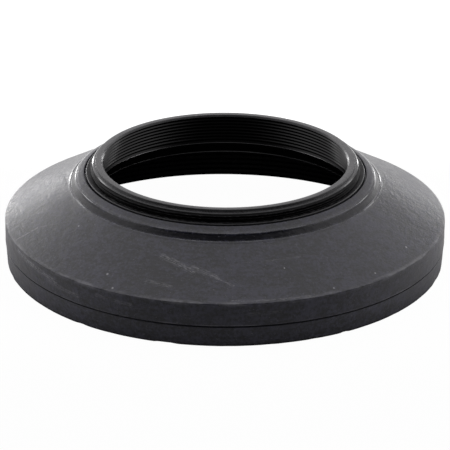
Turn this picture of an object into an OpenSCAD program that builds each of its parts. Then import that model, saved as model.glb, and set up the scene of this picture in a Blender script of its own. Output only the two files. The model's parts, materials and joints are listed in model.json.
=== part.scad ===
// Wide-angle rubber lens hood on a screw-in metal mount ring.
// The hood stands on its wide mouth, so the filter thread points up.
// Origin: centre of the mouth, on the plane the rim rests on. +Z runs along the lens axis.

/* [Filter thread] */
// Outside diameter of the thread that screws into the lens
thread_d = 77; // [72:1:79]
// Height of the threaded band
thread_h = 2.7; // [2.5:0.1:2.8]
// Height of the plain lip above the thread
lip_h = 0.5; // [0.4:0.1:0.6]

/* [Mount ring] */
// Height of the whole ring
ring_h = 9.7; // [9.5:0.1:10]
// Wall between the thread and the top of the bore
ring_wall = 3.6; // [3.4:0.1:3.8]
// How far the bore opens out towards the mouth
bore_flare = 2.4; // [2:0.1:2.5]
// Number of anti-glare ribs in the bore
rib_count = 8; // [6:1:12]
// Depth of the grooves between those ribs
rib_depth = 0.3; // [0.15:0.05:0.35]
// How far the flange stands out past the thread
flange_out = 1.35; // [1.2:0.05:1.4]
// Thickness of the flange
flange_t = 1.2; // [1:0.1:1.3]

/* [Clamp nut] */
// Height of the nut
nut_h = 5.8; // [5.5:0.1:6]
// Wall of the nut outside its thread
nut_wall = 3; // [2.6:0.1:3.2]
// Width of a spanner slot
slot_w = 2.6; // [2:0.1:4]
// Depth of a spanner slot
slot_depth = 1.2; // [0.8:0.1:1.6]

/* [Rubber hood] */
// Outside diameter of the rim
rim_d = 126.3; // [122:0.1:134]
// Height of the whole part
total_h = 29.7; // [29:0.1:31]
// Height of the upright rim band
rim_h = 12.8; // [12:0.1:13.2]
// Height of the moulded line round the rim band
line_z = 6; // [5:0.1:8]
// Thickness of the rim band
rim_t = 2.65; // [2.3:0.05:3]
// Thickness of the cone
cone_t = 2; // [1.8:0.1:2.2]
// Radial width of the collar's top face
collar_w = 2.55; // [2.2:0.05:2.8]
// Number of anti-glare ridges inside the rim band
rim_ridges = 7; // [4:1:9]
// Number of anti-glare ridges under the cone
cone_ridges = 12; // [6:1:14]
// Depth of the grooves between those ridges
ridge_depth = 0.35; // [0.2:0.05:0.4]

/* [Hidden] */
$fn = 180;

// Free space between the rubber and the metal that it turns on
turn_gap = 0.3;
// Free space on the radius in the nut's thread
nut_gap = 0.05;

// Mount ring
thread_r = thread_d / 2;
ring_base_z = total_h - ring_h;
thread_top_z = total_h - lip_h;
flange_top_z = thread_top_z - thread_h;
flange_base_z = flange_top_z - flange_t;
flange_r = thread_r + flange_out;
bore_top_r = thread_r - ring_wall;
bore_base_r = bore_top_r + bore_flare;
bore_chamfer = 0.55;
lip_top_r = thread_r - 1.45;
lip_step_r = lip_top_r + 0.15;
lip_step_z = total_h - 0.4;
thread_start_r = thread_r - 0.42;
edge_break = 0.25;

// Clamp nut
nut_skirt = 3.65;
nut_base_z = ring_base_z - nut_skirt;
nut_top_z = nut_base_z + nut_h;
nut_r = thread_r + nut_wall;
nut_mouth_r = bore_base_r + 2;
slot_reach = 2 * nut_r;

// Rubber hood
collar_gap = 0.45;
collar_side_w = 1.1;
collar_side_h = 2.95;
collar_slope_h = 1.35;
corner_break = 0.15;
collar_top_z = flange_top_z - 0.15;
rim_r = rim_d / 2;
rim_in_r = rim_r - rim_t;
foot_r = collar_r(1) + collar_side_w;
foot_z = collar_top_z - collar_side_h;
cone_drop = (foot_z - rim_h) / (rim_r - foot_r);
skin_z = cone_t * sqrt(1 + cone_drop * cone_drop);
bead_in_r = thread_r + turn_gap;
bead_top_z = flange_base_z - turn_gap;
bead_base_z = nut_top_z + turn_gap;
collar_edge_z = collar_top_z - collar_slope_h;
line_depth = 0.45;
line_half_w = 0.3;
rim_taper = 0.5;
rim_edge = 0.3;
foot_chamfer_z = 1.3;
foot_chamfer_w = 1.1;
neck_r = nut_r + 0.6;

// Radius of the collar's top face: 0 is its inner edge and 1 its outer edge
function collar_r(t) = flange_r + collar_gap + t * collar_w;

// Height of the cone's outer and inner faces at radius r
function cone_z(r) = foot_z - (r - foot_r) * cone_drop;
function under_z(r) = cone_z(r) - skin_z;

// A row of V grooves from point a to point b, cut sideways by the vector d
function grooves(a, b, n, d) = [
    for (i = [0 : n - 1], s = [0, 0.5])
        a + (b - a) * (i + s) / n + (s > 0 ? d : [0, 0])
];

// Metal ring: lip, filter thread at its outside diameter, flange, tube and ribbed bore
module mount_ring() {
    ribs = grooves(
        [bore_top_r, total_h - bore_chamfer],
        [bore_base_r - edge_break, ring_base_z + edge_break],
        rib_count,
        [rib_depth, 0]
    );
    color([0.06, 0.06, 0.065])
    rotate_extrude()
    polygon(concat(
        [
            [bore_base_r - edge_break, ring_base_z + edge_break],
            [bore_base_r, ring_base_z],
            [thread_r, ring_base_z],
            [thread_r, flange_base_z],
            [flange_r, flange_base_z],
            [flange_r, flange_top_z - edge_break],
            [flange_r - edge_break, flange_top_z],
            [thread_r, flange_top_z],
            [thread_r, thread_top_z],
            [thread_start_r, thread_top_z],
            [lip_step_r, lip_step_z],
            [lip_top_r, total_h],
            [bore_top_r + bore_chamfer, total_h]
        ],
        ribs
    ));
}

// Metal nut that screws on the tube from below and holds the rubber bead in place
module clamp_nut() {
    color([0.08, 0.08, 0.085])
    difference() {
        rotate_extrude()
        polygon([
            [nut_mouth_r, nut_base_z],
            [nut_r - edge_break, nut_base_z],
            [nut_r, nut_base_z + edge_break],
            [nut_r, nut_top_z - edge_break],
            [nut_r - edge_break, nut_top_z],
            [thread_r + nut_gap, nut_top_z],
            [thread_r + nut_gap, ring_base_z],
            [bore_base_r + edge_break, ring_base_z]
        ]);
        translate([0, 0, nut_base_z])
        cube([slot_reach, slot_w, 2 * slot_depth], center = true);
    }
}

// One rubber moulding: bead, collar, cone and rim band
module rubber_hood() {
    rim_inside = grooves(
        [rim_in_r, foot_chamfer_z],
        [rim_in_r, under_z(rim_in_r)],
        rim_ridges,
        [ridge_depth, 0]
    );
    cone_inside = grooves(
        [rim_in_r, under_z(rim_in_r)],
        [neck_r, under_z(neck_r)],
        cone_ridges,
        [0, ridge_depth]
    );
    color([0.17, 0.17, 0.18])
    rotate_extrude()
    polygon(concat(
        [
            [collar_r(0), collar_top_z],
            [collar_r(0), bead_top_z],
            [bead_in_r, bead_top_z],
            [bead_in_r, bead_base_z],
            [neck_r, bead_base_z],
            [neck_r, under_z(neck_r)]
        ],
        [for (i = [len(cone_inside) - 1 : -1 : 0]) cone_inside[i]],
        [for (i = [len(rim_inside) - 1 : -1 : 0]) rim_inside[i]],
        [
            [rim_in_r + foot_chamfer_w, 0],
            [rim_r - rim_taper - rim_edge, 0],
            [rim_r - rim_taper, rim_edge],
            [rim_r - corner_break, line_z - line_half_w],
            [rim_r - line_depth, line_z],
            [rim_r, line_z + line_half_w],
            [rim_r, rim_h - rim_edge],
            [rim_r - rim_edge, cone_z(rim_r - rim_edge)],
            [foot_r + rim_edge, cone_z(foot_r + rim_edge)],
            [foot_r, foot_z + rim_edge],
            [collar_r(1) + corner_break, collar_edge_z - corner_break],
            [collar_r(1) - corner_break, collar_edge_z]
        ]
    ));
}

mount_ring();
clamp_nut();
rubber_hood();
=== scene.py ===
"""Looks of a wide-angle rubber lens hood on a metal mount ring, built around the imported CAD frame."""
import json
import math

import bpy
import numpy as np
from mathutils import Matrix, Vector


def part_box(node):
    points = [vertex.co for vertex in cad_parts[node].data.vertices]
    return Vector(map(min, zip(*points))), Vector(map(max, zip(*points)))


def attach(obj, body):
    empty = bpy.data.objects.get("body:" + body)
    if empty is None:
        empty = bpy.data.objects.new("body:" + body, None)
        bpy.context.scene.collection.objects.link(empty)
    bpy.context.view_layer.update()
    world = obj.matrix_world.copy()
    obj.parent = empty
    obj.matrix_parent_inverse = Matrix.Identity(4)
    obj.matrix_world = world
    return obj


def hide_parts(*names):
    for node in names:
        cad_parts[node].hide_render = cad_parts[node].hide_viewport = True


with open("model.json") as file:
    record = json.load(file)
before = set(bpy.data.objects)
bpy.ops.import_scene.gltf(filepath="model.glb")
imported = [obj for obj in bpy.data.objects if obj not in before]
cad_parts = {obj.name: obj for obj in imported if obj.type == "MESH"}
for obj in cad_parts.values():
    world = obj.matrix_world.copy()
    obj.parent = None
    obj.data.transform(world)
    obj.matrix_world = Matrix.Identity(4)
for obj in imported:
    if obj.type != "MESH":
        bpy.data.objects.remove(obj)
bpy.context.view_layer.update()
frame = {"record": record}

MM = 0.001
TAU = 2 * math.pi


# ---------------------------------------------------------------- dimensions, in mm

def box_mm(node):
    """The lowest and highest corners of a CAD node."""
    low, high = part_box(node)
    return low / MM, high / MM


ring_low, ring_high = box_mm("mount_ring")
nut_low, nut_high = box_mm("clamp_nut")
_, hood_high = box_mm("rubber_hood")
thread = next(m for m in frame["record"]["mounts"] if m["name"] == "filter_thread")

THREAD_R = thread["dims"]["r_mm"]
THREAD_H = thread["dims"]["length_mm"]
THREAD_MID_Z = thread["pos_m"][2] / MM
THREAD_PITCH = 0.75
THREAD_DEPTH = 0.46

# Mount ring
TOP_Z = ring_high.z
TUBE_BASE_Z = ring_low.z
FLANGE_R = ring_high.x
FLANGE_T = 1.2
FLANGE_TOP_Z = THREAD_MID_Z - THREAD_H / 2
FLANGE_BASE_Z = FLANGE_TOP_Z - FLANGE_T
LEDGE_Z = TOP_Z - 0.72
THREAD_START_Z = LEDGE_Z - 0.55
LIP_TOP_R = THREAD_R - 1.45
BORE_TOP_R = THREAD_R - 3.6
BORE_BASE_R = BORE_TOP_R + 2.4
BORE_CHAMFER_R = BORE_TOP_R + 0.5
BORE_CHAMFER_H = 0.55
BORE_RIBS = 8
RIB_DEPTH = 0.42
RIB_VALLEY_AT = 0.68
TUBE_R = THREAD_R - 0.03
BEAD_H = 0.14
BORE_BEAD_R = BORE_BASE_R - 0.36
BORE_BEAD_Z = TUBE_BASE_Z + BEAD_H

# Clamp nut
NUT_R = nut_high.x
NUT_BASE_Z = nut_low.z
NUT_TOP_Z = nut_high.z
NUT_MOUTH_R = BORE_BASE_R + 2
NUT_BEAD_R = NUT_MOUTH_R - 0.28
NUT_BEAD_Z = NUT_BASE_Z + BEAD_H
NUT_THREAD_R = THREAD_R + 0.05
SLOT_HALF_W = 1.3
SLOT_DEPTH = 1.2
SLOT_MARGIN = 1.6

# Rubber hood
RIM_R = hood_high.x
RIM_TOP_Z = 12.8
RIM_T = 2.65
RIM_IN_R = RIM_R - RIM_T
RIM_FOOT_H = 1.3
RIM_FOOT_W = 1.1
LINE_Z = 6.0
LINE_DEPTH = 0.45
LINE_HALF_W = 0.3
COLLAR_TOP_Z = hood_high.z
COLLAR_IN_R = FLANGE_R + 0.45
COLLAR_OUT_R = COLLAR_IN_R + 2.55
COLLAR_EDGE_Z = COLLAR_TOP_Z - 1.35
FOOT_R = COLLAR_OUT_R + 1.1
FOOT_Z = COLLAR_TOP_Z - 2.95
CONE_DROP = (FOOT_Z - RIM_TOP_Z) / (RIM_R - FOOT_R)
CONE_T = 2.0
TURN_GAP = 0.3
NECK_R = NUT_R + 2 * TURN_GAP
BEAD_R = THREAD_R + TURN_GAP
RIM_RIDGES = 7
CONE_RIDGES = 12
RIDGE_DEPTH = 0.35
RIDGE_ROUND = 0.2

# Mesh columns round the axis, and rows up the threaded band
HOOD_COLUMNS = 400
RING_COLUMNS = 720
NUT_HALF_COLUMNS = 240
THREAD_ROWS = 64


def cone_z(r):
    """Height of the cone's outer face."""
    return FOOT_Z - (r - FOOT_R) * CONE_DROP


def under_z(r):
    """Height of the cone's inner face, at the ridges' crests."""
    return cone_z(r) - CONE_T * math.hypot(1, CONE_DROP)


# ---------------------------------------------------------------- outlines and meshes

SHARP_ANGLE = math.radians(40)
STRAIGHT_HALF_ANGLE = math.radians(88)


def rounded(corners, arc_steps=5):
    """A closed outline from (r, z, radius) corners, each corner turned into an arc of that radius."""
    points = []
    count = len(corners)
    for i, (r, z, radius) in enumerate(corners):
        here = np.array([r, z])
        before = np.array(corners[i - 1][:2]) - here
        after = np.array(corners[(i + 1) % count][:2]) - here
        len_before, len_after = np.linalg.norm(before), np.linalg.norm(after)
        u, v = before / len_before, after / len_after
        half = math.acos(np.clip(u @ v, -1, 1)) / 2
        if radius == 0 or half > STRAIGHT_HALF_ANGLE:
            points.append(here)
            continue
        reach = min(radius / math.tan(half), 0.45 * len_before, 0.45 * len_after)
        for step in range(arc_steps + 1):
            t = step / arc_steps
            a, b = here + u * reach, here + v * reach
            points.append((1 - t) ** 2 * a + 2 * t * (1 - t) * here + t ** 2 * b)
    return np.array(points)


def filled(points, step):
    """The closed outline with extra points, so that no stretch is longer than step."""
    dense = []
    for a, b in zip(points, np.roll(points, -1, axis=0)):
        pieces = max(1, math.ceil(np.linalg.norm(b - a) / step))
        dense += [a + (b - a) * i / pieces for i in range(pieces)]
    return np.array(dense)


def ridge_row(start, end, count, cut, radius, valley_at=0.5):
    """Corners of a row of V grooves from start to end, each cut sideways by the vector cut and
    deepest at valley_at of its width."""
    start, end, cut = np.array(start), np.array(end), np.array(cut)
    corners = []
    for i in range(count):
        crest = start + (end - start) * i / count
        valley = start + (end - start) * (i + valley_at) / count + cut
        corners += [(*crest, radius), (*valley, radius)]
    return corners


def closed_grid(columns, rows):
    """The faces of a grid of points, closed both round the axis and round the outline."""
    i, j = np.meshgrid(np.arange(columns), np.arange(rows), indexing="ij")
    i2, j2 = (i + 1) % columns, (j + 1) % rows
    corners = [i * rows + j, i2 * rows + j, i2 * rows + j2, i * rows + j2]
    return np.stack(corners, -1).reshape(-1, 4)


def lathe(name, outline, columns, shape=None, paint=None):
    """A closed outline turned about Z. shape(r, z, angle) may move the points of the turned grid,
    and paint(r, z) gives the material index of the faces that start at each outline point."""
    angle = np.linspace(0, TAU, columns, endpoint=False)[:, None]
    r = np.repeat(outline[None, :, 0], columns, axis=0)
    z = np.repeat(outline[None, :, 1], columns, axis=0)
    angle = np.repeat(angle, len(outline), axis=1)
    if shape:
        r, z = shape(r, z, angle)
    verts = np.stack([r * np.cos(angle), r * np.sin(angle), z], -1).reshape(-1, 3) * MM
    piece = mesh_object(name, verts, closed_grid(columns, len(outline)))
    if paint:
        index = np.tile(paint(outline[:, 0], outline[:, 1]).astype(np.int32), columns)
        piece.data.polygons.foreach_set("material_index", index)
    return piece


def mesh_object(name, verts, quads):
    """A smooth-shaded object, with edges sharper than SHARP_ANGLE kept crisp."""
    mesh = bpy.data.meshes.new(name)
    mesh.vertices.add(len(verts))
    mesh.vertices.foreach_set("co", verts.astype(np.float32).ravel())
    mesh.loops.add(quads.size)
    mesh.loops.foreach_set("vertex_index", quads.astype(np.int32).ravel())
    mesh.polygons.add(len(quads))
    mesh.polygons.foreach_set("loop_start", np.arange(0, quads.size, 4, dtype=np.int32))
    mesh.update(calc_edges=True)
    mesh.validate()
    mesh.shade_smooth()
    mesh.set_sharp_from_angle(angle=SHARP_ANGLE)
    piece = bpy.data.objects.new(name, mesh)
    bpy.context.scene.collection.objects.link(piece)
    return piece


def ripple(angle, seed, waves):
    """A smooth closed wobble round the part, between about -1 and 1."""
    rng = np.random.default_rng(seed)
    total = np.zeros_like(angle)
    for wave in waves:
        total += np.sin(wave * angle + rng.uniform(0, TAU)) / len(waves) ** 0.5
    return total


def turned_from(angle, degrees):
    """How far angle is from degrees round the axis, in radians between -pi and pi."""
    return np.angle(np.exp(1j * (angle - math.radians(degrees))))


def smooth_step(low, high, x):
    """0 at low and 1 at high, with a soft start and end."""
    t = np.clip((x - low) / (high - low), 0, 1)
    return t * t * (3 - 2 * t)


# ---------------------------------------------------------------- rubber hood

# Chips in the bottom edge: (angle in degrees, half width in degrees)
RIM_CHIPS = ((255, 3), (302, 1.2))


def hood_outline():
    """Collar, bead, ridged inside of the cone and rim, rim band with its moulded line, and cone."""
    corners = [
        (COLLAR_IN_R, COLLAR_TOP_Z, 0.3),
        (COLLAR_IN_R, FLANGE_BASE_Z - TURN_GAP, 0.1),
        (BEAD_R, FLANGE_BASE_Z - TURN_GAP, 0.3),
        (BEAD_R, NUT_TOP_Z + TURN_GAP, 0.3),
        (NECK_R, NUT_TOP_Z + TURN_GAP, 0.1),
    ]
    neck = (NECK_R, under_z(NECK_R))
    inner_corner = (RIM_IN_R, under_z(RIM_IN_R))
    foot = (RIM_IN_R, RIM_FOOT_H)
    corners += ridge_row(neck, inner_corner, CONE_RIDGES, (0, RIDGE_DEPTH), RIDGE_ROUND)
    corners += ridge_row(inner_corner, foot, RIM_RIDGES, (RIDGE_DEPTH, 0), RIDGE_ROUND)
    corners += [
        (*foot, 0.2),
        (RIM_IN_R + RIM_FOOT_W, 0, 0.4),
        (RIM_R - 0.5, 0, 0.35),
        (RIM_R - 0.12, LINE_Z - LINE_HALF_W, 0.12),
        (RIM_R - LINE_DEPTH, LINE_Z, 0.08),
        (RIM_R, LINE_Z + LINE_HALF_W, 0.12),
        (RIM_R, RIM_TOP_Z, 0.3),
        (FOOT_R + 1.1, cone_z(FOOT_R + 1.1), 0.3),
        (FOOT_R + 0.45, cone_z(FOOT_R + 0.45) + 0.12, 0.15),
        (FOOT_R + 0.08, FOOT_Z - 0.14, 0.06),
        (COLLAR_OUT_R, COLLAR_EDGE_Z, 0.9),
    ]
    return filled(rounded(corners), 0.55)


def hood_wear(r, z, angle):
    """A slow wobble of the soft rim, uneven skin and a nibbled bottom edge with a few chips."""
    low = smooth_step(20, 0, z)
    r = r + 0.05 * (ripple(angle, 3, (2, 3, 5, 9)) - 1.5) * low
    outside = smooth_step(RIM_R - 1.4, RIM_R - 0.6, r) * smooth_step(RIM_TOP_Z, RIM_TOP_Z - 1, z)
    r = r - 0.02 * outside * (1 + ripple(angle + 0.04 * z, 7, (31, 47, 71, 97)))
    edge = smooth_step(0.8, 0, z) * smooth_step(RIM_R - 1.4, RIM_R - 0.6, r)
    nibble = smooth_step(0.6, 2, ripple(angle, 11, (17, 23, 29, 41)))
    for degrees, half_width in RIM_CHIPS:
        turn = np.degrees(np.abs(turned_from(angle, degrees)))
        nibble = np.maximum(nibble, smooth_step(half_width, 0.6 * half_width, turn))
    return r - 0.12 * nibble * edge, z + 0.15 * nibble * edge


def make_hood():
    hood = lathe("hood_moulding", hood_outline(), HOOD_COLUMNS, hood_wear)
    hood.data.materials.append(rubber_material())
    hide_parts("rubber_hood")
    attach(hood, "hood")


# ---------------------------------------------------------------- mount ring

NICK_DEPTH = 0.14
# Dents in the lip: (angle in degrees, radius, height, size), in mm
LIP_NICKS = (
    (256, 35.6, TOP_Z, 0.35),
    (132, 35.4, TOP_Z - 0.2, 0.35),
    (107, 35.4, TOP_Z - 0.2, 0.3),
    (104, 35.5, TOP_Z - 0.1, 0.25),
    (338, 37.2, TOP_Z - 0.1, 0.3),
    (61, 37.1, TOP_Z, 0.25),
)


def ring_outline():
    """Tube, flange, thread, lip and ribbed bore, with even rows of points up the threaded band."""
    bore_top = (BORE_TOP_R, TOP_Z - BORE_CHAMFER_H)
    bore_base = (BORE_BASE_R - 0.25, TUBE_BASE_Z + 0.5)
    ribs = ridge_row(bore_top, bore_base, BORE_RIBS, (RIB_DEPTH, 0), 0.05, RIB_VALLEY_AT)
    corners = [
        (BORE_BASE_R - 0.25, TUBE_BASE_Z + 0.35, 0.03),
        (BORE_BEAD_R, BORE_BEAD_Z, 0.08),
        (BORE_BASE_R - 0.2, TUBE_BASE_Z, 0.05),
        (TUBE_R, TUBE_BASE_Z, 0.05),
        (TUBE_R, FLANGE_BASE_Z, 0.05),
        (FLANGE_R, FLANGE_BASE_Z, 0.1),
        (FLANGE_R, FLANGE_TOP_Z, 0.25),
        (THREAD_R - 0.1, FLANGE_TOP_Z, 0.05),
        (THREAD_R, FLANGE_TOP_Z + 0.05, 0.02),
        (THREAD_R, THREAD_START_Z, 0.02),
        (THREAD_R - 0.5, LEDGE_Z - 0.25, 0.1),
        (THREAD_R - 0.8, LEDGE_Z, 0.12),
        (THREAD_R - 1.36, LEDGE_Z + 0.03, 0.04),
        (LIP_TOP_R, TOP_Z, 0.1),
        (BORE_CHAMFER_R, TOP_Z, 0.1),
    ]
    points = rounded(corners + ribs, 3)
    on_thread = (points[:, 0] > THREAD_R - 0.2) & (points[:, 1] > FLANGE_TOP_Z + 0.02)
    on_thread &= points[:, 1] < THREAD_START_Z + 0.01
    first = np.flatnonzero(on_thread)[0]
    last = np.flatnonzero(on_thread)[-1]
    heights = np.linspace(points[first, 1], points[last, 1], THREAD_ROWS)
    band = np.stack([np.full(THREAD_ROWS, THREAD_R), heights], -1)
    return np.concatenate([points[:first], band, points[last + 1:]])


def ring_shape(r, z, angle):
    """Cuts the helical filter thread, and dents the lip."""
    turns = (z - FLANGE_TOP_Z) / THREAD_PITCH - angle / TAU
    flank = np.abs(2 * (turns - np.floor(turns)) - 1)
    cut = THREAD_DEPTH * np.clip(1.25 * flank - 0.12, 0, 1)
    on_band = (r > THREAD_R - 0.01) & (z > FLANGE_TOP_Z + 0.04) & (z < THREAD_START_Z + 0.01)
    fade = smooth_step(FLANGE_TOP_Z + 0.05, FLANGE_TOP_Z + 0.35, z)
    r = np.where(on_band, r - cut * fade - THREAD_DEPTH * (1 - fade) * 0.7, r)
    for degrees, at_r, at_z, size in LIP_NICKS:
        turn = turned_from(angle, degrees)
        reach = np.sqrt((turn * at_r) ** 2 + (r - at_r) ** 2 + (z - at_z) ** 2) / size
        z = z - NICK_DEPTH * np.clip(1 - reach, 0, 1)
    return r, z


def matt_faces(r, z):
    """2 for the thread, its lead-in and the flange inside its edge, 1 for the ribbed bore below its
    top chamfer, and 0 elsewhere."""
    bore_r = BORE_TOP_R + (BORE_BASE_R - BORE_TOP_R) * (TOP_Z - z) / (TOP_Z - TUBE_BASE_Z)
    bore = (z < TOP_Z - 0.5) & (r < bore_r + RIB_DEPTH + 0.15) & (r < THREAD_R - 0.6)
    threaded = (r > THREAD_R - 0.49) & (z > FLANGE_TOP_Z - 0.01) & (z < LEDGE_Z - 0.25)
    return np.where(threaded & (r < FLANGE_R - 0.2), 2, bore)


def make_ring():
    ring = lathe("ring_body", ring_outline(), RING_COLUMNS, ring_shape, matt_faces)
    ring.data.materials.append(anodised_material())
    ring.data.materials.append(matt_black_material("bore_matt_black", bore_edge))
    ring.data.materials.append(thread_material())
    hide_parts("mount_ring")
    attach(ring, "mount")


# ---------------------------------------------------------------- clamp nut

def make_nut():
    """The nut's outline turned about Z, with two parallel-sided slots pressed up into its lower face."""
    corners = [
        (NUT_MOUTH_R - 0.2, NUT_BASE_Z + 0.35, 0.03),
        (NUT_BEAD_R, NUT_BEAD_Z, 0.08),
        (NUT_MOUTH_R - 0.05, NUT_BASE_Z, 0.06),
        (NUT_R, NUT_BASE_Z, 0.25),
        (NUT_R, NUT_TOP_Z, 0.25),
        (NUT_THREAD_R, NUT_TOP_Z, 0.05),
        (NUT_THREAD_R, TUBE_BASE_Z, 0.05),
        (BORE_BASE_R + 0.25, TUBE_BASE_Z, 0.05),
    ]
    outline = filled(rounded(corners, 4), 0.4)
    slot_z = NUT_BASE_Z + SLOT_DEPTH
    columns = nut_columns()
    verts = []
    for along, side, slotted in columns:
        r = outline[:, 0]
        z = np.maximum(outline[:, 1], slot_z) if slotted else outline[:, 1]
        if side is None:
            x, y = r * math.cos(along), r * math.sin(along)
        else:
            y = np.full(len(r), side)
            x = np.sqrt(r ** 2 - side ** 2) * along
        verts.append(np.stack([x, y, z], -1))
    verts = np.concatenate(verts) * MM
    nut = mesh_object("nut_body", verts, closed_grid(len(columns), len(outline)))
    nut.data.materials.append(matt_black_material("nut_matt_black", nut_edge))
    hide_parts("clamp_nut")
    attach(nut, "mount")


def nut_columns():
    """Columns round the nut: (angle, None, slotted), or (side of X, y, slotted) along a slot's wall."""
    half = math.asin(SLOT_HALF_W / THREAD_R) * SLOT_MARGIN
    columns = []
    for facing in (1, -1):
        slot = (-SLOT_HALF_W * facing, SLOT_HALF_W * facing)
        columns += [(facing, slot[0], False), (facing, slot[0], True)]
        columns += [(facing, slot[0] * k, True) for k in (0.5, 0, -0.5)]
        columns += [(facing, slot[1], True), (facing, slot[1], False)]
        start = 0 if facing > 0 else math.pi
        angles = np.linspace(start + half, start + math.pi - half, NUT_HALF_COLUMNS)
        columns += [(a, None, False) for a in angles]
    return columns


# ---------------------------------------------------------------- shader helpers

MAP_RANGE_SOCKETS = ("From Min", "From Max", "To Min", "To Max")
LENGTH_OPERATIONS = ("LENGTH", "DOT_PRODUCT", "DISTANCE")


def map_range(tree, low, high, to_low, to_high):
    """A node that smoothly maps low..high to to_low..to_high."""
    node = tree.nodes.new("ShaderNodeMapRange")
    node.interpolation_type = "SMOOTHSTEP"
    for socket, number in zip(MAP_RANGE_SOCKETS, (low, high, to_low, to_high)):
        node.inputs[socket].default_value = number
    return node


class Shader:
    """A material's node tree, with short calls for the nodes used here."""

    def __init__(self, name):
        self.material = bpy.data.materials.new(name)
        self.material.use_nodes = True
        self.tree = self.material.node_tree
        self.tree.nodes.clear()
        self.out = self.tree.nodes.new("ShaderNodeOutputMaterial")
        self.coords = self.tree.nodes.new("ShaderNodeTexCoord").outputs["Object"]

    def put(self, socket, value):
        """Links a node's output to the socket, or sets the socket to a plain value."""
        if isinstance(value, bpy.types.NodeSocket):
            self.tree.links.new(value, socket)
        else:
            socket.default_value = value

    def math(self, operation, a, b=0.0, clamp=False):
        node = self.tree.nodes.new("ShaderNodeMath")
        node.operation, node.use_clamp = operation, clamp
        self.put(node.inputs[0], a)
        self.put(node.inputs[1], b)
        return node.outputs[0]

    def vector(self, operation, a, b=None, scale=None):
        node = self.tree.nodes.new("ShaderNodeVectorMath")
        node.operation = operation
        self.put(node.inputs[0], a)
        if b is not None:
            self.put(node.inputs[1], b)
        if scale is not None:
            self.put(node.inputs["Scale"], scale)
        return node.outputs["Value" if operation in LENGTH_OPERATIONS else "Vector"]

    def noise(self, size_mm, detail=4.0, rough=0.55, at=None, distortion=0.0):
        node = self.tree.nodes.new("ShaderNodeTexNoise")
        self.put(node.inputs["Vector"], at or self.coords)
        node.inputs["Scale"].default_value = 1 / (size_mm * MM)
        node.inputs["Detail"].default_value = detail
        node.inputs["Roughness"].default_value = rough
        node.inputs["Distortion"].default_value = distortion
        return node.outputs[0]

    def ramp(self, value, low, high, to_low=0.0, to_high=1.0):
        """Smoothly maps low..high to to_low..to_high."""
        node = map_range(self.tree, low, high, to_low, to_high)
        self.put(node.inputs["Value"], value)
        return node.outputs["Result"]

    def mix(self, factor, a, b):
        node = self.tree.nodes.new("ShaderNodeMix")
        node.data_type = "RGBA"
        colours = [s for s in node.inputs if s.type == "RGBA"]
        self.put(node.inputs[0], factor)
        for socket, colour in zip(colours, (a, b)):
            self.put(socket, colour if isinstance(colour, bpy.types.NodeSocket) else (*colour, 1))
        return next(s for s in node.outputs if s.type == "RGBA")

    def bump(self, height, strength, depth_mm, normal=None):
        node = self.tree.nodes.new("ShaderNodeBump")
        self.put(node.inputs["Strength"], strength)
        node.inputs["Distance"].default_value = depth_mm * MM
        self.put(node.inputs["Height"], height)
        if normal:
            self.put(node.inputs["Normal"], normal)
        return node.outputs["Normal"]

    def round_coords(self):
        """Distance from the axis and height, in mm."""
        node = self.tree.nodes.new("ShaderNodeSeparateXYZ")
        self.put(node.inputs[0], self.vector("SCALE", self.coords, scale=1 / MM))
        flat = self.tree.nodes.new("ShaderNodeCombineXYZ")
        self.put(flat.inputs[0], node.outputs[0])
        self.put(flat.inputs[1], node.outputs[1])
        return self.vector("LENGTH", flat.outputs[0]), node.outputs[2]

    def stretched_coords(self, keep):
        """Coordinates whose noise runs in streaks round the axis, where the angle counts keep times
        as much."""
        parts = self.tree.nodes.new("ShaderNodeSeparateXYZ")
        self.put(parts.inputs[0], self.coords)
        out_r, out_z = self.round_coords()
        angle = self.math("ARCTAN2", parts.outputs[1], parts.outputs[0])
        streak = self.tree.nodes.new("ShaderNodeCombineXYZ")
        self.put(streak.inputs[0], self.math("MULTIPLY", out_r, MM))
        self.put(streak.inputs[1], self.math("MULTIPLY", out_z, MM))
        self.put(streak.inputs[2], self.math("MULTIPLY", angle, keep * RIM_R * MM))
        return streak.outputs[0]

    def near_circle(self, r, z, at_r, at_z, reach):
        """1 on the circle of radius at_r at height at_z, falling to 0 at reach mm from it."""
        dr = self.math("SUBTRACT", r, at_r)
        dz = self.math("SUBTRACT", z, at_z)
        squares = self.math("ADD", self.math("MULTIPLY", dr, dr), self.math("MULTIPLY", dz, dz))
        return self.ramp(self.math("SQRT", squares), 0, reach, 1, 0)

    def largest_near(self, r, z, circles):
        """The largest near_circle of (at_r, at_z, reach) circles."""
        largest = 0.0
        for at_r, at_z, reach in circles:
            largest = self.math("MAXIMUM", largest, self.near_circle(r, z, at_r, at_z, reach))
        return largest

    def scuff(self, start, end, width, facing=(0, 0, 1)):
        """A rubbed mark from start to end, in mm, on a face that looks towards facing: fine streaks
        along it that fade out at width."""
        start, end = Vector(start), Vector(end)
        along = end - start
        across = along.cross(facing).normalized()
        offset = self.vector("SUBTRACT", self.vector("SCALE", self.coords, scale=1 / MM), start)
        part = self.vector("DOT_PRODUCT", offset, along / along.length_squared)
        part = self.math("ADD", part, 0, clamp=True)
        far = self.vector("DISTANCE", offset, self.vector("SCALE", along, scale=part))
        lines = self.tree.nodes.new("ShaderNodeCombineXYZ")
        sideways = self.vector("DOT_PRODUCT", offset, across)
        self.put(lines.inputs[0], self.math("MULTIPLY", sideways, MM))
        self.put(lines.inputs[1], self.math("MULTIPLY", part, 0.08 * along.length * MM))
        streaks = self.ramp(self.noise(0.22, 2, 0.6, at=lines.outputs[0]), 0.42, 0.6)
        broken = self.ramp(self.noise(0.8, 4, 0.7), 0.4, 0.55, 0.25, 1)
        mask = self.math("MULTIPLY", self.ramp(far, 0, width, 1, 0), streaks)
        return self.math("MULTIPLY", mask, broken)

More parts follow.
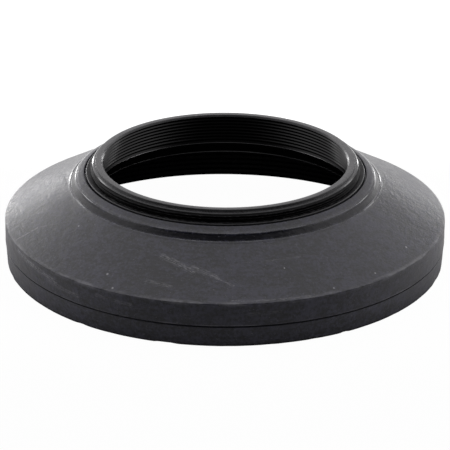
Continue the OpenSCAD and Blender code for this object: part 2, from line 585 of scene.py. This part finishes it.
    def speck(self, at, size):
        """A pale dot of the given radius, in mm."""
        far = self.vector("DISTANCE", self.vector("SCALE", self.coords, scale=1 / MM), Vector(at))
        return self.ramp(far, 0.4 * size, size, 1, 0)

    def finish(self, **inputs):
        """Ends the material in a Principled shader with the named inputs, _ standing for a space."""
        shader = self.tree.nodes.new("ShaderNodeBsdfPrincipled")
        for name, value in inputs.items():
            self.put(shader.inputs[name.replace("_", " ")], value)
        self.tree.links.new(shader.outputs[0], self.out.inputs[0])
        return self.material


def on_cone(degrees, r):
    """A point on the cone's outer face, in mm."""
    a = math.radians(degrees)
    return r * math.cos(a), r * math.sin(a), cone_z(r)


def on_band(degrees, z):
    """A point on the rim band's outer face, in mm."""
    a = math.radians(degrees)
    return RIM_R * math.cos(a), RIM_R * math.sin(a), z


# ---------------------------------------------------------------- rubber

RUBBER_DARK = (0.0015, 0.0015, 0.005)
RUBBER_LIGHT = (0.029, 0.029, 0.048)
BLOOM = (0.1, 0.1, 0.115)
# A pale grey for rubbed marks, also used for the painted highlights and the painted reflection edge.
SCUFF_AND_HIGHLIGHT_GREY = (0.27, 0.27, 0.29)

# Rubbed marks on the cone, and a painted reflection edge, in degrees and mm:
# (start angle, start r, end angle, end r, half width, strength)
CONE_SCUFFS_AND_REFLECTION_EDGE = (
    (250, 50.0, 260.5, 53.6, 1.3, 0.7),
    (252, 50.2, 259, 52.2, 0.5, 0.5),
    (260, 52.4, 267.5, 54.8, 1.3, 0.6),
    (266, 54.6, 272.3, 57.6, 0.5, 1.0),
    (248.5, 58.0, 255.5, 58.7, 0.9, 0.5),
    (281.5, 50.8, 294, 50.7, 0.5, 0.3),
    # The next two marks are a painted reflection edge: the sharp boundary of a reflected light, drawn as
    # a pale line.
    (199.3, 62.3, 200.3, 56.4, 0.5, 1.0),
    (200.3, 56.4, 205, 52.0, 0.5, 0.4),
    (271.5, 62.2, 278, 62.3, 0.6, 0.7),
    (278, 62.3, 285, 62.4, 0.6, 0.6),
    (285, 62.4, 292, 62.5, 0.6, 0.6),
)
# Rubbed marks on the rim band, in degrees and mm:
# (start angle, start z, end angle, end z, half width, strength)
BAND_SCUFFS = (
    (203, 11.6, 212, 11.0, 1.2, 1.0),
    (211, 11.2, 222, 10.2, 1.3, 0.7),
    (219, 9.2, 230, 8.6, 1.0, 0.5),
    (236, 10.6, 246, 10.2, 0.9, 0.35),
    (276, 9.8, 284, 9.9, 0.8, 0.25),
)
# Pale specks on the cone: (angle, r, radius), degrees and mm
CONE_SPECKS = (
    (236.6, 58.5, 0.45),
    (240.4, 62.0, 0.4),
    (213.8, 49.2, 0.35),
    (299, 61.5, 0.35),
    (313, 60.8, 0.35),
    (330, 58.5, 0.4),
    (287.8, 53.3, 0.3),
)


def rubbed_and_highlit_edges(s, r, z):
    """The moulding's outer edges, rubbed pale in patches: partly wear and partly a painted highlight
    along the edges.
    """
    return s.largest_near(r, z, (
        (RIM_R - 0.3, RIM_TOP_Z + 0.1, 1.1),
        (FOOT_R + 0.45, FOOT_Z - 0.1, 0.35),
        (COLLAR_OUT_R, COLLAR_EDGE_Z, 0.35),
        (RIM_R, LINE_Z + 0.4, 0.3),
    ))


def rubber_material():
    """Aged black rubber: fine grain, cloudy bloom, pale rubbed edges, scuffs and specks, with a painted
    highlight on the edges, a painted reflection edge, and painted shade on the collar's side, in the
    moulded line's groove and along the bottom edge.
    """
    s = Shader("aged_rubber")
    r, z = s.round_coords()
    around = s.stretched_coords(0.25)
    grain = s.noise(0.9, 4, 0.65)
    mottle = s.noise(3.0, 5, 0.6)
    cloud = s.noise(16, 3, 0.5, distortion=0.6)
    turning = s.noise(1.1, 4, 0.6, at=around)
    tone = s.math("ADD", s.math("MULTIPLY", grain, 0.4), s.math("MULTIPLY", mottle, 0.25))
    tone = s.math("ADD", tone, s.math("MULTIPLY", cloud, 0.15))
    tone = s.math("ADD", tone, s.math("MULTIPLY", turning, 0.2))
    collar_side_r, collar_side_z = (COLLAR_OUT_R + FOOT_R) / 2, (COLLAR_EDGE_Z + FOOT_Z) / 2
    # Painted shade: the tone is darkened on the collar's steep side, under its edge.
    collar_side_shade = s.near_circle(r, z, collar_side_r, collar_side_z - 0.2, 1.1)
    tone = s.math("SUBTRACT", tone, s.math("MULTIPLY", collar_side_shade, 0.15))
    colour = s.mix(s.ramp(tone, 0.43, 0.59), RUBBER_DARK, RUBBER_LIGHT)
    specks = s.ramp(s.noise(0.5, 2, 0.5), 0.63, 0.76)
    colour = s.mix(s.math("MULTIPLY", specks, 0.7), colour, BLOOM)

    patchy = s.ramp(s.noise(1.8, 5, 0.7, at=around), 0.4, 0.62)
    patchy = s.math("MULTIPLY", patchy, s.ramp(s.noise(14, 2, 0.5), 0.35, 0.6, 0.35, 1))
    # Pale patches on the edges, partly rubbed wear and partly painted highlight; scuffs, a painted
    # reflection edge and specks are added to them below.
    rub_and_highlight = s.math("MULTIPLY", s.math("MULTIPLY", rubbed_and_highlit_edges(s, r, z), patchy), 0.4)
    for start_deg, start_r, end_deg, end_r, width, strength in CONE_SCUFFS_AND_REFLECTION_EDGE:
        mark = s.scuff(on_cone(start_deg, start_r), on_cone(end_deg, end_r), width)
        rub_and_highlight = s.math("MAXIMUM", rub_and_highlight, s.math("MULTIPLY", mark, strength))
    for start_deg, start_z, end_deg, end_z, width, strength in BAND_SCUFFS:
        start, end = on_band(start_deg, start_z), on_band(end_deg, end_z)
        mark = s.scuff(start, end, width, (start[0], start[1], 0))
        rub_and_highlight = s.math("MAXIMUM", rub_and_highlight, s.math("MULTIPLY", mark, strength))
    for degrees, at_r, size in CONE_SPECKS:
        rub_and_highlight = s.math("MAXIMUM", rub_and_highlight, s.speck(on_cone(degrees, at_r), size))
    colour = s.mix(rub_and_highlight, colour, SCUFF_AND_HIGHLIGHT_GREY)

    rough = s.ramp(tone, 0.4, 0.62, 0.33, 0.43)
    rough = s.math("ADD", rough, s.ramp(r, COLLAR_OUT_R - 1.0, COLLAR_OUT_R - 0.6, 0.14, 0))
    polished = s.near_circle(r, z, COLLAR_OUT_R, COLLAR_EDGE_Z - 0.1, 0.8)
    polished = s.math("MAXIMUM", polished, s.near_circle(r, z, FOOT_R + 0.4, FOOT_Z - 0.05, 0.6))
    polished = s.ramp(polished, 0.1, 0.6)
    rough = s.math("SUBTRACT", rough, s.math("MULTIPLY", polished, 0.24))
    # Painted shade: the moulded line's groove and the bottom edge are mixed towards the darkest rubber
    # and made rougher.
    groove_and_bottom_shade = s.ramp(s.near_circle(r, z, RIM_R - 0.4, LINE_Z, 0.4), 0.1, 0.5)
    groove_and_bottom_shade = s.math("MAXIMUM", groove_and_bottom_shade, s.ramp(z, 0.2, 0.8, 1, 0))
    colour = s.mix(groove_and_bottom_shade, colour, RUBBER_DARK)
    rough = s.math("ADD", rough, s.math("MULTIPLY", groove_and_bottom_shade, 0.4))
    normal = s.bump(s.math("ADD", grain, turning), s.ramp(polished, 0, 1, 0.9, 0.15), 0.07)
    normal = s.bump(mottle, s.ramp(polished, 0, 1, 0.6, 0.1), 0.25, normal)
    return s.finish(Base_Color=colour, Roughness=rough, Specular_IOR_Level=0.5, Normal=normal)


# ---------------------------------------------------------------- anodised metal

ANODISED = (0.010, 0.010, 0.012)
ANODISED_WORN = (0.05, 0.05, 0.052)
BARE_ALUMINIUM = (0.5, 0.5, 0.51)
BORE_BLACK = (0.0012, 0.0012, 0.0015)
BORE_DUST = (0.008, 0.008, 0.009)


def ring_wear_mask(s, r, z):
    """The edges of the lip, where handling rubs the black off."""
    return s.largest_near(r, z, (
        (LIP_TOP_R, TOP_Z, 0.08),
        (BORE_CHAMFER_R, TOP_Z, 0.08),
        (THREAD_R - 1.3, LEDGE_Z, 0.1),
    ))


def anodised_material():
    """The ring's satin black outside, with faint turning marks and edges worn towards bare metal."""
    s = Shader("ring_anodised")
    r, z = s.round_coords()
    patch = s.noise(2.5, 5, 0.6)
    turned = s.noise(0.14, 3, 0.6, at=s.stretched_coords(0.02))
    worn = s.math("MULTIPLY", ring_wear_mask(s, r, z), s.ramp(patch, 0.45, 0.7, 0.05, 0.4))
    colour = s.mix(s.ramp(turned, 0.3, 0.75), ANODISED, ANODISED_WORN)
    colour = s.mix(worn, colour, BARE_ALUMINIUM)
    rough = s.ramp(patch, 0.3, 0.7, 0.24, 0.34)
    polished = s.near_circle(r, z, THREAD_R - 0.65, LEDGE_Z - 0.12, 0.5)
    rough = s.math("SUBTRACT", rough, s.math("MULTIPLY", s.ramp(polished, 0, 0.5), 0.14))
    return s.finish(
        Base_Color=colour,
        Metallic=s.math("MULTIPLY", worn, 0.8),
        Roughness=rough,
        Specular_IOR_Level=0.3,
        Normal=s.bump(turned, 0.1, 0.01),
    )


def bore_edge(s, r, z):
    """The inner edge at the base of the tube, made a bright line by a painted highlight."""
    return s.near_circle(r, z, BORE_BEAD_R, BORE_BEAD_Z, 0.2)


def nut_edge(s, r, z):
    """The lower edge of the nut's mouth, made a bright line by a painted highlight."""
    return s.near_circle(r, z, NUT_BEAD_R, NUT_BEAD_Z, 0.3)


def thread_material():
    """The thread: the bore's black with old grease and grit in it, a little paler on the crests."""
    s = Shader("thread_black")
    r, z = s.round_coords()
    grit = s.noise(0.5, 4, 0.7, at=s.stretched_coords(0.2))
    crest = s.math("MULTIPLY", s.ramp(r, THREAD_R - 0.12, THREAD_R - 0.02), s.ramp(grit, 0.45, 0.65))
    colour = s.mix(crest, BORE_BLACK, ANODISED_WORN)
    rough = s.ramp(grit, 0.3, 0.7, 0.4, 0.6)
    return s.finish(Base_Color=colour, Roughness=rough, Specular_IOR_Level=0.08)


def matt_black_material(name, bright_edge):
    """The anti-glare finish inside: deeper and duller than the outside of the ring, with a painted
    highlight on one edge in bare aluminium's colour and metal sheen.
    """
    s = Shader(name)
    r, z = s.round_coords()
    dust = s.ramp(s.noise(0.9, 5, 0.7), 0.5, 0.8)
    colour = s.mix(dust, BORE_BLACK, BORE_DUST)
    # Painted highlight: the edge is given bare aluminium's colour and full metal sheen so that it shows
    # as a bright line.
    bare = s.ramp(bright_edge(s, r, z), 0, 0.5)
    colour = s.mix(bare, colour, BARE_ALUMINIUM)
    return s.finish(Base_Color=colour, Metallic=bare, Roughness=0.22, Specular_IOR_Level=0.32)


# ---------------------------------------------------------------- stage

FLOOR_LIFT = 0.98
FLOOR_PALE = (0.9, 0.9, 0.9)
FLOOR_SHADED = (0.44, 0.44, 0.44)
FLOOR_UNDER_SHADOW = (0.04, 0.04, 0.04)
FLOOR_HALF = 3.0
# Where the shaded front of the floor ends, and where the lifted back begins and is full, in metres
FLOOR_FRONT = (-0.095, -0.04)
FLOOR_BACK = (0.06, 0.2)


def make_floor():
    """A pale floor with painted shadows: its paint is dimmer in front of the hood and dark inside it.

    What the camera sees of it is lifted towards white, which keeps its shadows faint. Its back
    glows, and it is clear from below."""
    mesh = bpy.data.meshes.new("floor")
    corners = [(FLOOR_HALF * x, FLOOR_HALF * y, 0) for x, y in ((-1, -1), (1, -1), (1, 1), (-1, 1))]
    mesh.from_pydata(corners, [], [(0, 1, 2, 3)])
    floor = bpy.data.objects.new("floor", mesh)
    bpy.context.scene.collection.objects.link(floor)
    s = Shader("pale_floor")
    paint = s.tree.nodes.new("ShaderNodeBsdfDiffuse")
    place = s.tree.nodes.new("ShaderNodeSeparateXYZ")
    s.put(place.inputs[0], s.coords)
    tone = s.mix(s.ramp(place.outputs[1], *FLOOR_FRONT), FLOOR_SHADED, FLOOR_PALE)
    r, _ = s.round_coords()
    # Painted shadow: the paint is dark inside the hood's rim.
    s.put(paint.inputs["Color"], s.mix(s.ramp(r, RIM_IN_R - 4, RIM_IN_R + 1), FLOOR_UNDER_SHADOW, tone))
    lift = s.tree.nodes.new("ShaderNodeEmission")
    lift.inputs["Color"].default_value = (1, 1, 1, 1)
    camera_ray = s.tree.nodes.new("ShaderNodeLightPath").outputs["Is Camera Ray"]
    seen = s.math("MULTIPLY", camera_ray, FLOOR_LIFT)
    seen = s.math("MAXIMUM", seen, s.ramp(place.outputs[1], *FLOOR_BACK, 0, 0.7))
    s.put(lift.inputs["Strength"], s.ramp(place.outputs[1], *FLOOR_BACK, 1, 2.1))
    mix = s.tree.nodes.new("ShaderNodeMixShader")
    s.put(mix.inputs[0], seen)
    s.put(mix.inputs[1], paint.outputs[0])
    s.put(mix.inputs[2], lift.outputs[0])
    clear = s.tree.nodes.new("ShaderNodeMixShader")
    s.put(clear.inputs[0], s.tree.nodes.new("ShaderNodeNewGeometry").outputs["Backfacing"])
    s.put(clear.inputs[1], mix.outputs[0])
    s.put(clear.inputs[2], s.tree.nodes.new("ShaderNodeBsdfTransparent").outputs[0])
    s.put(s.out.inputs[0], clear.outputs[0])
    floor.data.materials.append(s.material)


# The point that every lamp is turned to, in metres
LIGHT_TARGET = Vector((0, 0, 0.02))


def area_light(name, place, width, height, radiance):
    """A white rectangular lamp at place, turned to the hood. radiance doesn't depend on its size."""
    data = bpy.data.lights.new(name, "AREA")
    data.shape, data.size, data.size_y = "RECTANGLE", width, height
    data.energy = radiance * math.pi * width * height
    light = bpy.data.objects.new(name, data)
    light.location = place
    light.rotation_mode = "QUATERNION"
    light.rotation_quaternion = (LIGHT_TARGET - Vector(place)).to_track_quat("-Z", "Y")
    bpy.context.scene.collection.objects.link(light)


WORLD_LEVEL = 1.25
WORLD_COLOUR = (1.0, 0.985, 1.0)


def make_world():
    """A white studio overhead and behind the hood, dark in front, and weaker low down on the right
    and at the far left."""
    world = bpy.data.worlds.new("studio")
    world.use_nodes = True
    tree = world.node_tree
    direction = tree.nodes.new("ShaderNodeTexCoord").outputs["Generated"]
    axes = tree.nodes.new("ShaderNodeSeparateXYZ")
    tree.links.new(direction, axes.inputs[0])

    def fade(value, low, high, to_low, to_high):
        node = map_range(tree, low, high, to_low, to_high)
        tree.links.new(value, node.inputs["Value"])
        return node.outputs["Result"]

    def combine(operation, a, b):
        node = tree.nodes.new("ShaderNodeMath")
        node.operation = operation
        for socket, value in zip(node.inputs, (a, b)):
            if isinstance(value, float):
                socket.default_value = value
            else:
                tree.links.new(value, socket)
        return node.outputs[0]

    behind = fade(axes.outputs[1], -0.55, 0.0, 0.05, 1.0)
    low = fade(axes.outputs[2], 0.3, 0.7, 1.0, 0.0)
    left = fade(axes.outputs[0], -0.3, -0.05, 0.05, 0.0)
    right = fade(axes.outputs[0], 0.05, 0.3, 0.0, -0.5)
    far_left = fade(axes.outputs[0], -0.85, -0.6, -0.6, 0.0)
    sides = combine("ADD", combine("ADD", left, right), far_left)
    level = combine("ADD", combine("MULTIPLY", low, sides), WORLD_LEVEL)
    background = tree.nodes["Background"]
    background.inputs["Color"].default_value = (*WORLD_COLOUR, 1)
    tree.links.new(combine("MULTIPLY", behind, level), background.inputs["Strength"])
    bpy.context.scene.world = world


def make_lights():
    make_world()
    area_light("left_box", (-0.45, 1.0, 0.07), 0.17, 0.08, 17)
    area_light("right_box", (0.45, 1.0, 0.07), 0.16, 0.08, 9)
    area_light("left_strip", (-0.735, 0.666, 0.478), 0.3, 0.16, 4)
    area_light("right_strip", (0.735, 0.666, 0.478), 0.3, 0.16, 3)


# The camera looks down at the standing hood from a metre away
CAMERA_DISTANCE = 1.0
CAMERA_ELEVATION = math.radians(23.547)
CAMERA_PITCH = math.radians(-23.054)
CAMERA_ROLL = math.radians(0.268)
CAMERA_LENS = 276.85


def make_camera():
    data = bpy.data.cameras.new("camera")
    data.lens, data.sensor_width = CAMERA_LENS, 36
    data.clip_start, data.clip_end = 0.05, 20
    camera = bpy.data.objects.new("camera", data)
    place = Vector((0, -math.cos(CAMERA_ELEVATION), math.sin(CAMERA_ELEVATION))) * CAMERA_DISTANCE
    turn = Matrix.Rotation(math.pi / 2 + CAMERA_PITCH, 4, "X") @ Matrix.Rotation(CAMERA_ROLL, 4, "Z")
    camera.matrix_world = Matrix.Translation(place) @ turn
    bpy.context.scene.collection.objects.link(camera)
    bpy.context.scene.camera = camera


make_hood()
make_ring()
make_nut()
make_floor()
make_lights()
make_camera()
bpy.context.scene.view_settings.view_transform = "Standard"
